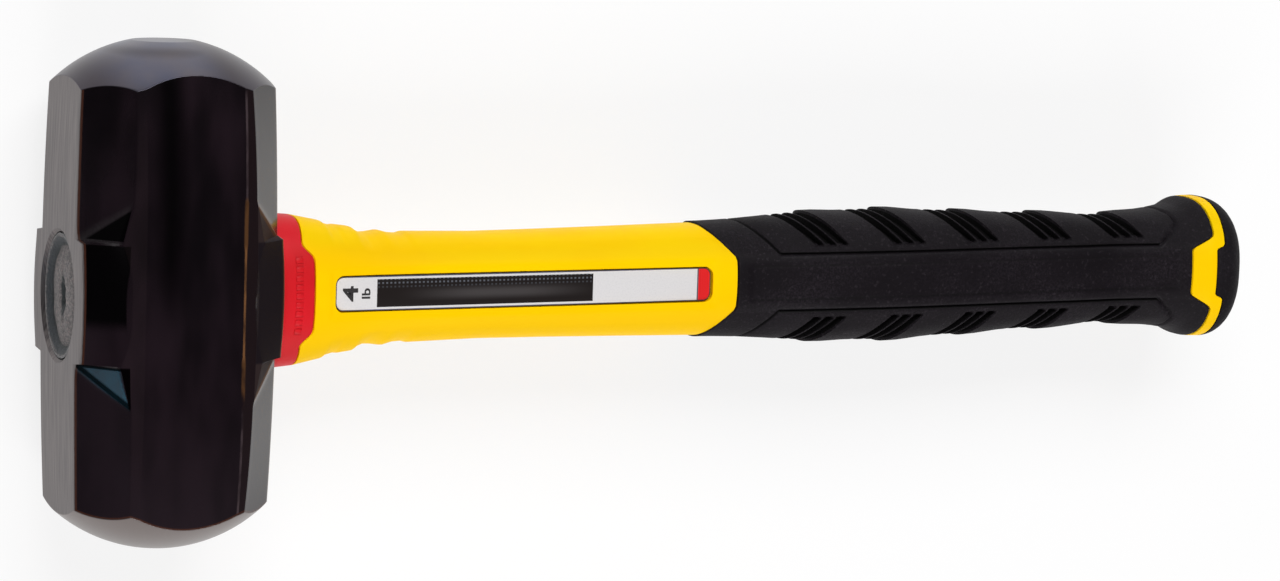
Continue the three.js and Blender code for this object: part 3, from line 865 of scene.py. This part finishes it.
def make_head():
    """Rings that follow the edges of the facets, then the eye cut through."""
    shoulder_turn = head_directions(SHOULDER)
    c, s = np.abs(np.cos(shoulder_turn)), np.abs(np.sin(shoulder_turn))
    edge = np.full_like(c, SHOULDER)
    for _ in range(12):
        edge = DOME_MIDDLE + np.sqrt(DOME_RADIUS ** 2 - body_reach(edge, c, s) ** 2)
    rows = [BOSS_END * t for t in eased(12)]
    rows += [BOSS_END + BOSS_BEVEL * t for t in (0.12, 0.5, 0.88)]
    rows += [BOSS_RIDGE + (BOSS_FOOT - BOSS_RIDGE) * t for t in eased(16)]
    half = [ring_of_head(y, head_directions(y)) for y in rows]
    for t in eased(18)[1:]:
        turn = head_directions(BOSS_FOOT + (SHOULDER - BOSS_FOOT) * t)
        half.append(ring_of_head(BOSS_FOOT + (edge - BOSS_FOOT) * t, turn))
    slope = np.arccos(np.clip((edge - DOME_MIDDLE) / DOME_RADIUS, -1, 1))
    rim = math.asin(STRIKING_RADIUS / DOME_RADIUS)
    for t in eased(20)[1:]:
        y = DOME_MIDDLE + DOME_RADIUS * np.cos(slope + (rim - slope) * t)
        half.append(ring_of_head(y, shoulder_turn))
    half += [half[-1] * [t, 1, t] for t in (0.75, 0.5, 0.25, 0.05)]
    head = skin("head_block", [ring * [1, -1, 1] for ring in half[:0:-1]] + half)
    cut(head, eye_cutter())
    return finished(smoothed(head, 11), steel_material(), "forged_steel", "head")


OVAL_POINTS = 112


def oval(x, half_height, half_width):
    """Elliptical ring across the handle."""
    turn = np.linspace(0, 2 * math.pi, OVAL_POINTS, endpoint=False)
    return points_at(x, half_height * np.cos(turn), half_width * np.sin(turn))


def eye_cutter():
    """Oval hole through the head, chamfered at both faces."""
    half = [(HALF_DEPTH - EYE_CHAMFER, 0), (HALF_DEPTH, EYE_CHAMFER), (40, EYE_CHAMFER)]
    return skin("eye_cutter", [oval(x, EYE_HALF_HEIGHT + grow, EYE_HALF_WIDTH + grow)
                               for x, grow in [(-x, grow) for x, grow in half[::-1]] + half])


# Share of the way from the middle of the resin to its rim, then the depth below the rim
RESIN_PROFILE = [
    (0.03, 1.9), (0.1, 1.85), (0.17, 1.6), (0.24, 0.95), (0.31, 0.6), (0.45, 0.6), (0.6, 0.8), (0.7, 1.1),
    (0.77, 1.4), (0.81, 1.5), (0.84, 1.3), (0.9, 0.55), (0.94, 0.15), (0.965, 0.02), (0.99, 0), (1, 0.1),
]


def make_resin():
    """Poured resin: a low rim, a dished ring and a slit in the middle."""
    (front, _, _), (back, rim_height, rim_width) = corners("eye_resin")
    turn = np.linspace(0, 2 * math.pi, OVAL_POINTS, endpoint=False)
    uneven = 0.09 * np.sin(3 * turn + 1) + 0.07 * np.sin(7 * turn) + 0.05 * np.cos(11 * turn)
    rings = []
    for share, depth in RESIN_PROFILE:
        width = rim_width * share * (1 - 0.45 * smooth_step(0.45, 0.2, share))
        x = front + depth + uneven * smooth_step(1.0, 0.85, share)
        rings.append(points_at(x, rim_height * share * np.cos(turn), width * np.sin(turn)))
    rings += [oval(back, rim_height * share, rim_width * share) for share in (1, 0.5)]
    resin = smoothed(skin("eye_resin_fill", rings), 50)
    return finished(resin, resin_material(), "resin", "eye_resin")


def neck_profile(x):
    """Half-height and half-width of the handle in front of the grip."""
    along = np.clip((x - HALF_DEPTH) / FLARE_LENGTH, 0, 1)
    fading = ((1 + np.cos(math.pi * along)) / 2) ** 2
    width = NECK_HALF_WIDTH + (MOUTH_HALF_WIDTH - NECK_HALF_WIDTH) * fading
    start = HALF_DEPTH + FLARE_LENGTH
    widening = np.clip((x - start) / (NECK_END - start), 0, 1)
    return np.interp(x, *NECK_EVEN), width + (NECK_END_HALF_WIDTH - NECK_HALF_WIDTH) * widening


def grip_profile(x):
    """Half-height and half-width of the handle from the grip to the crown of the butt."""
    swell = smooth_curve(GRIP_SWELLS, (x - NECK_END) / GRIP_LENGTH)
    past = np.clip((x - FLANGE_END) / CAP_LENGTH, 0, 1)
    swell *= np.sqrt(np.maximum(1 - past ** 2, 1e-4))
    return GRIP_HALF_HEIGHT * swell, GRIP_HALF_WIDTH * swell


# Heights over the middle line at which the handle's rings keep a point, for the edges of its forms
HEIGHTS = np.array([11.5, 10.7, 10.1, 9.7, 9.0, 8.4, 8.0, 7.75, 7.5, 7.25,
                    7.0, 6.5, 5.9, 5.3, 4.6, 4.1, 3.0, 1.5, 0])
TOP_COLUMNS = 16
EDGE_DRAW = 0.18


def edge_line(edge, gap=0.0):
    """Place along the handle as a function of the height over its middle line."""
    base, points = edge
    return lambda y: base + gap + np.interp(y, *zip(*points))


def across(place):
    return lambda y: np.full_like(y, place)


def lines_between(start, end, *shares):
    """Lines that lie these shares of the way from one line to another."""
    return [lambda y, share=share: start(y) + (end(y) - start(y)) * share for share in shares]


def handle_ring(line, profile, depth=None, scale=1.0):
    """Ring round the handle that follows a line, sunk below the profile by a depth."""
    edge = np.concatenate([np.full(TOP_COLUMNS, HEIGHTS[0]), HEIGHTS]) * scale
    share = np.minimum(np.arange(len(edge)) / TOP_COLUMNS, 1)
    y = edge
    for _ in range(7):
        x = line(y)
        half_height, half_width = profile(x)
        turn = share * np.arccos(np.minimum(edge / half_height, 1) ** (SECTION_POWER / 2))
        y = half_height * np.cos(turn) ** (2 / SECTION_POWER)
    y = np.maximum(y, 0)
    z = half_width * np.sin(turn) ** (2 / SECTION_POWER)
    if depth is not None:
        lean_y = (y / half_height) ** (SECTION_POWER - 1) / half_height
        lean_z = (z / half_width) ** (SECTION_POWER - 1) / half_width
        sunk = depth(x, y) / np.maximum(np.hypot(lean_y, lean_z), 1e-9)
        y = y - sunk * lean_y
        z = z - sunk * lean_z
    y[-1], z[0] = 0, 0
    quarter = points_at(x, y, z)
    front = np.concatenate([quarter, quarter[::-1][1:] * [1, -1, 1]])
    return np.concatenate([front[:-1], front[::-1][:-1] * [1, 1, -1]])


def rings_along(lines, profile, depth=None):
    return [handle_ring(line, profile, depth) for line in lines]


def drawn_in(ring, half_height, half_width):
    """The same ring drawn in to a smaller section."""
    size = np.abs(ring).max(axis=0)
    return ring * [1, half_height / size[1], half_width / size[2]]


def shrunk(ring, by):
    """The same ring drawn in by a length on every side."""
    _, half_height, half_width = np.abs(ring).max(axis=0)
    return drawn_in(ring, half_height - by, half_width - by)


def softened(rings):
    """Rounds the first and last edge of a shell."""
    return [shrunk(rings[0], EDGE_DRAW)] + rings[1:-1] + [shrunk(rings[-1], EDGE_DRAW)]


def as_tube(name, rings, half_height=CORE_HALF_HEIGHT + FIT_GAP, half_width=CORE_HALF_WIDTH + FIT_GAP):
    """Closed shell with a bore along its middle."""
    bore = [drawn_in(rings[end], half_height, half_width) for end in (-1, 0)]
    return skin(name, rings + bore, looped=True)


def shaft_size(gap=0.0):
    """Half-height and half-width of the jacket under the grip, with a gap round it."""
    return [half * SHAFT_SHARE - SHAFT_DEPTH + gap for half in (GRIP_HALF_HEIGHT, GRIP_HALF_WIDTH)]


def make_collar():
    """Rubber piece between the head and the handle, with its curved edge and tab."""
    lines = lines_between(across(COLLAR_START), edge_line(COLLAR_EDGE),
                          0, 0.02, 0.06, *np.linspace(0.12, 0.9, 16), 0.95, 0.98, 1)
    collar = smoothed(as_tube("collar_rubber", softened(rings_along(lines, neck_profile))), 60)
    return finished(collar, red_material(), "red_rubber", "collar")


def rib_points(middle, side):
    """Twelve corners of a bevelled rib."""
    for rise, inset in ((-0.6, 0.0), (RIB_HEIGHT - 0.12, 0.0), (RIB_HEIGHT, 0.14)):
        x0, x1, half = RIB_START + inset, RIB_END - inset, RIB_WIDTH / 2 - inset
        for x, y in ((x0, middle - half), (x1, middle - half), (x1, middle + half), (x0, middle + half)):
            half_height, half_width = neck_profile(x)
            z = half_width * (1 - (abs(y) / half_height) ** SECTION_POWER) ** (1 / SECTION_POWER)
            yield x, y, side * (z + rise)


def make_collar_ribs():
    """Row of ribs on both sides of the collar."""
    points, faces = [], []
    for side in (1, -1):
        for i in range(RIB_COUNT):
            faces += [[len(points) + j for j in face] for face in faces_over(3, 4)]
            points += rib_points((i - (RIB_COUNT - 1) / 2) * RIB_PITCH, side)
    ribs = smoothed(add_mesh("collar_ribs", points, faces), 60)
    return finished(ribs, red_material(), "red_rubber")


def label_outline(grow, z, steps=8):
    """Outline of the printed plate, grown on every side."""
    x0, x1, half, radius = LABEL_START - grow, LABEL_END + grow, LABEL_HALF + grow, LABEL_RADIUS + grow
    ring = []
    for quarter, (x, y) in enumerate(((x1, half), (x0, half), (x0, -half), (x1, -half))):
        for i in range(steps + 1):
            turn = (quarter + i / steps) * math.pi / 2
            ring.append((x + (math.cos(turn) - (1 if x == x1 else -1)) * radius,
                         y + (math.sin(turn) - math.copysign(1, y)) * radius, z))
    return np.array(ring)


def neck_depth(x, y):
    """Steps along the upper and lower edge of the flare, and a soft hollow round the plate."""
    along_dip = smooth_step(LABEL_START - 2.2, LABEL_START - 0.6, x)
    along_dip *= smooth_step(LABEL_END + 2.0, LABEL_END + 0.4, x)
    even = np.interp(x, *NECK_EVEN)
    step = even - np.interp(x, *np.array(NECK_STEPS).T)
    dip = LABEL_DIP * smooth_step(6.6, 4.9, y) * along_dip
    return dip + step * smooth_step(0.62, 0.93, y / even)


# Places between which the rings of the jacket run straight across
NECK_LEVEL_START = 68
NECK_LEVEL_END = 138


def make_jacket():
    """One moulding: the neck, the shaft under the grip, and the flange with its tab and spigot."""
    start, end = edge_line(COLLAR_EDGE, FIT_GAP), edge_line(NOSE_EDGE, -FIT_GAP)
    lines = lines_between(start, across(NECK_LEVEL_START), 0.005, *np.linspace(0.02, 1, 80))
    lines += [across(x) for x in np.linspace(NECK_LEVEL_START, NECK_LEVEL_END, 36)[1:]]
    lines += lines_between(across(NECK_LEVEL_END), end, *np.linspace(0, 0.97, 16)[1:], 1)
    rings = [shrunk(handle_ring(start, neck_profile), 0.15)]
    rings += rings_along(lines, neck_profile, neck_depth)
    lines = lines_between(edge_line(FLANGE_EDGE, FIT_GAP), edge_line(CAP_EDGE, -FIT_GAP),
                          0, 0.03, *np.linspace(0.1, 0.9, 12), 0.97, 1)
    back = softened(rings_along(lines, grip_profile))
    rings += [drawn_in(ring, *shaft_size()) for ring in (rings[-1], back[0])] + back
    spigot_end = handle_ring(across(FLANGE_END + SPIGOT_LENGTH), grip_profile, scale=0.9)
    rings += [drawn_in(ring, SPIGOT_HALF_HEIGHT, SPIGOT_HALF_WIDTH) for ring in (back[-1], spigot_end)]
    jacket = as_tube("handle_jacket", rings)
    for side in (1, -1):
        cut(jacket, skin("label_cutter", [label_outline(FIT_GAP, side * z)
                                          for z in (LABEL_BASE - FIT_GAP, 18)]))
    return finished(smoothed(jacket, 45), yellow_material(), "yellow_plastic", "jacket")


def make_label(name, side, node):
    """Printed plate with a rounded rim."""
    inner, outer = (corner[2] for corner in corners(node)[::side])
    layers = [label_outline(-inset, z) for inset, z in ((0, inner), (0, outer - side * 0.15),
                                                        (0.05, outer - side * 0.05), (0.15, outer))]
    return finished(smoothed(skin(name, layers), 40), label_material(), "label_film", node)


def make_marking(name, text, x0, x1, width, side):
    """Generic weight marking with its top towards the head."""
    curve = bpy.data.curves.new(name, "FONT")
    writing = placed(name + "_text", curve, body=text, extrude=0.02, offset=0.022)
    mesh = evaluated_mesh(writing)
    bpy.data.objects.remove(writing)
    points = np.array([vertex.co[:] for vertex in mesh.vertices])
    low, high = points.min(axis=0), points.max(axis=0)
    right, up, out = ((points - low) / (high - low)).T
    height = LABEL_TOP - 0.05 + 0.08 * out
    places = points_at(x1 - (x1 - x0) * up, (right - 0.5) * width * side, side * height)
    mesh.vertices.foreach_set("co", (places * MM + np.array(AXIS)).ravel())
    mesh.update()
    return finished(placed(name, mesh), ink_material(), "label_film")


def groove_places():
    """Middle and width of each groove where it ends beside the panel."""
    for group in range(GROOVE_GROUPS):
        for i in range(GROOVES_PER_GROUP):
            yield GROOVE_START + group * GROUP_PITCH + i * GROOVE_PITCH, GROOVE_WIDTH + i * GROOVE_WIDTH_GAIN


def slanted(base, knee=GROOVE_HEIGHT):
    """Line across the grip that leans towards the head beyond the knee."""
    return lambda y: base - np.maximum(0, y - knee)


def distance_to(path, x, y):
    """Distance of points from a path of straight pieces."""
    nearest = np.full_like(x, 1e3)
    for (ax, ay), (bx, by) in zip(path, path[1:]):
        dx, dy = bx - ax, by - ay
        share = np.clip(((x - ax) * dx + (y - ay) * dy) / (dx * dx + dy * dy), 0, 1)
        nearest = np.minimum(nearest, np.hypot(x - ax - share * dx, y - ay - share * dy))
    return nearest


def grip_depth(x, y):
    """Depth of the grooves, the line round the panel and the faint field inside it."""
    base = x + np.maximum(0, y - GROOVE_HEIGHT)
    depth = np.zeros_like(x)
    for middle, width in groove_places():
        depth = np.maximum(depth, smooth_step(width / 2 + 0.15, width / 2 - 0.25, np.abs(base - middle)))
    depth *= smooth_step(GROOVE_HEIGHT - 0.2, GROOVE_HEIGHT + 0.2, y) * GROOVE_DEPTH
    depth = np.maximum(depth, PANEL_LINE_DEPTH * smooth_step(0.6, 0.1, distance_to(PANEL_LINE, x, y)))
    field = smooth_step(FIELD_HEIGHT + 0.25, FIELD_HEIGHT - 0.25, y)
    field *= smooth_step(PANEL_TURN - 9, PANEL_TURN - 8.4, x)
    field *= smooth_step(PANEL_END + 6, PANEL_END + 5.4, x)
    return depth + FIELD_DEPTH * field - pad_rise(base, y)


def pad_rise(base, y):
    """Pads between the groups of grooves, each highest where it follows a group."""
    rise = np.zeros_like(base)
    for group in range(GROOVE_GROUPS):
        start = GROOVE_START + group * GROUP_PITCH + GROUP_LENGTH - GROOVE_PITCH + 1.2
        share = (base - start) / (GROUP_PITCH - GROUP_LENGTH)
        rise = np.maximum(rise, smooth_step(-0.01, 0.02, share) * smooth_step(1.05, 0.2, share))
    return PAD_RISE * rise * smooth_step(GROOVE_HEIGHT + 0.5, GROOVE_HEIGHT + 4, y)


def grip_lines():
    """Lines of the grip's rings, close together at the edges of its grooves."""
    first, last = PANEL_TURN + 6, PANEL_END - 1
    lines = lines_between(edge_line(NOSE_EDGE), slanted(PANEL_TURN - 1.2, PANEL_HEIGHT),
                          0, 0.015, 0.05, *np.linspace(0.12, 1, 12))
    lines += [slanted(PANEL_TURN + off, PANEL_HEIGHT) for off in (-0.8, -0.5, -0.25, 0, 0.25, 0.5, 0.8)]
    places = [GROOVE_START + (group + 0.5 + step) * GROUP_PITCH for group in range(-1, GROOVE_GROUPS)
              for step in (-0.1, 0.05, 0.2, 0.3, 0.38)]
    for middle, width in groove_places():
        for offset in (-0.25, -0.05, 0.15):
            places += [middle - width / 2 - offset, middle + width / 2 + offset]
        places += [middle, middle + (GROOVE_PITCH + 0.4) / 2]
    bases = []
    for place in sorted(place for place in places if first < place < last):
        if not bases or place - bases[-1] > 0.12:
            bases.append(place)
    lines += [slanted(base) for base in bases]
    return lines + lines_between(slanted(last), edge_line(FLANGE_EDGE), *np.linspace(0, 0.96, 44), 0.985, 1)


def make_grip():
    """Rubber grip with slanted grooves beside a framed panel."""
    rings = softened(rings_along(grip_lines(), grip_profile, grip_depth))
    grip = smoothed(as_tube("grip_rubber", rings, *shaft_size(FIT_GAP)), 60)
    return finished(grip, rubber_material(), "black_rubber", "grip")


# Distance from the flange to the crown of the cap, and degrees round the crown
CROWN_START = 0.8
CROWN_TURNS = [8, 13, 19, 26, 33, 40, 47, 54, 61, 68, 74, 80, 85, 88.5]


def make_cap():
    """Domed end of the butt."""
    lines = lines_between(edge_line(CAP_EDGE), across(FLANGE_END + CROWN_START), 0, 0.06, 0.3, 0.65)
    rings = rings_along(lines, grip_profile)
    rings[0] = shrunk(rings[0], EDGE_DRAW)
    for turn in [math.asin(CROWN_START / CAP_LENGTH), *np.radians(CROWN_TURNS)]:
        line = across(FLANGE_END + CAP_LENGTH * math.sin(turn))
        rings.append(handle_ring(line, grip_profile, scale=math.cos(turn)))
    socket = drawn_in(rings[0], SPIGOT_HALF_HEIGHT + FIT_GAP, SPIGOT_HALF_WIDTH + FIT_GAP)
    cap = smoothed(skin("butt_cap_dome", [socket] + rings), 45)
    return finished(cap, rubber_material(), "black_rubber", "butt_cap")


def dress_core():
    """The hidden rod keeps its own solid and gets its material."""
    dressed(bpy.data.objects["handle_core"], fibreglass_material())


# Camera, fitted to the photograph: degrees, then millimetres from the handle's axis
CAMERA_TURN = 26.544
CAMERA_RISE = 6.934
CAMERA_ROLL = 1.826
CAMERA_TARGET = (131.629, -2.782, 0)
CAMERA_DISTANCE = 1145.7
CAMERA_LENS = 124.875


def make_camera():
    """Camera at the photographer's place."""
    camera = placed("camera", bpy.data.cameras.new("camera"), lens=CAMERA_LENS, sensor_width=36,
                    sensor_fit="HORIZONTAL", clip_start=0.05, clip_end=50)
    place = Matrix.Translation(AXIS + Vector(CAMERA_TARGET) * MM)
    for degrees, axis in ((-CAMERA_TURN, "Y"), (-CAMERA_RISE, "X"), (CAMERA_ROLL, "Z")):
        place = place @ Matrix.Rotation(math.radians(degrees), 4, axis)
    camera.matrix_world = place @ Matrix.Translation((0, 0, CAMERA_DISTANCE * MM))
    bpy.context.scene.camera = camera


def make_floor():
    """Floor under the lower cheek, a little below it so that the faces don't meet."""
    half, level = 6.0, -0.0002
    mesh = bpy.data.meshes.new("floor")
    mesh.from_pydata([(-half, -half, level), (half, -half, level), (half, half, level), (-half, half, level)],
                     [], [(0, 1, 2, 3)])
    floor = placed("floor", mesh)
    dressed(floor, floor_material())


def make_lamp(name, place, aim, size, power, colour=(1, 1, 1)):
    """Soft rectangular lamp, in metres and watts."""
    lamp = placed(name, bpy.data.lights.new(name, "AREA"), shape="RECTANGLE", size=size[0],
                  size_y=size[1], energy=power, color=colour)
    lamp.location = place
    lamp.rotation_euler = (Vector(place) - Vector(aim)).to_track_quat("Z", "Y").to_euler()


# Directions of the glows in the sky, beyond the upper end of the head and overhead
FAR_DIRECTION = (0.3, 0.95, 0.05)
TOP_DIRECTION = (-0.1, -0.12, 0.985)


def make_sky():
    """Dark, with glows beyond the head, low down towards -Y and overhead."""
    world = bpy.data.worlds.new("studio")
    world.use_nodes = True
    s = Nodes(world.node_tree)
    direction = s.node("ShaderNodeTexCoord", "Generated")
    far, top = (s.node("ShaderNodeVectorMath", "Value", {0: direction, 1: Vector(aim).normalized()},
                       operation="DOT_PRODUCT") for aim in (FAR_DIRECTION, TOP_DIRECTION))
    side = s.node("ShaderNodeSeparateXYZ", "Y", {0: direction})
    colour = s.coated(SKY_DARK, (s.rise(far, 0.75, 0.97), SKY_FAR), (s.rise(side, -0.1, -0.8), SKY_NEAR),
                      (s.rise(top, 0.955, 0.985), SKY_TOP))
    s.put(s.tree.nodes["Background"].inputs["Color"], colour)
    bpy.context.scene.world = world


def mirrored_place(point, normal, reach):
    """Place that the camera sees in a facet, at a reach in metres from it."""
    spot = AXIS + Vector(point) * MM
    seen = (bpy.context.scene.camera.matrix_world.translation - spot).normalized()
    normal = Vector(normal).normalized()
    return spot + (normal * (2 * seen.dot(normal)) - seen) * reach


def boss_end_facet():
    """Middle and normal of the ramp that is low on the left in the photo."""
    ridge, tip = (np.array([boss_crest_at(y)[0], y, boss_crest_at(y)[1]]) for y in (BOSS_RIDGE, BOSS_FOOT))
    heel = np.array([face_at(BOSS_HEEL), BOSS_HEEL, boss_foot_at(BOSS_HEEL)])
    normal = np.cross(ridge - heel, tip - heel)
    turned = np.array([-1, -1, 1])
    return (ridge + tip + heel) / 3 * turned, normal * np.sign(normal[0]) * turned


def make_light():
    """Two large soft lamps, and a small cool one that is mirrored in a boss."""
    make_sky()
    make_lamp("key", (0.0, 1.25, 1.35), (0.1, 0, 0), (1.6, 0.9), 31)
    make_lamp("fill", (0.0, -1.5, 1.1), (0.1, 0, 0), (1.6, 0.8), 25)
    middle, normal = boss_end_facet()
    aim = AXIS + Vector(middle) * MM
    make_lamp("cool", mirrored_place(middle, normal, 1.3), aim, (0.12, 0.12), 0.45, COOL)


bpy.context.scene.view_settings.view_transform = "Standard"
make_camera()
make_floor()
make_light()
make_head()
make_resin()
make_collar()
make_collar_ribs()
make_jacket()
make_grip()
make_cap()
dress_core()
for side, place in ((1, "front"), (-1, "back")):
    make_label("label_plate_" + place, side, "label_" + place)
    make_marking("weight_number_" + place, "4", LABEL_START + 1.9, LABEL_START + 6.0, 3.9, side)
    make_marking("weight_unit_" + place, "lb", LABEL_START + 7.0, LABEL_START + 9.3, 2.6, side)
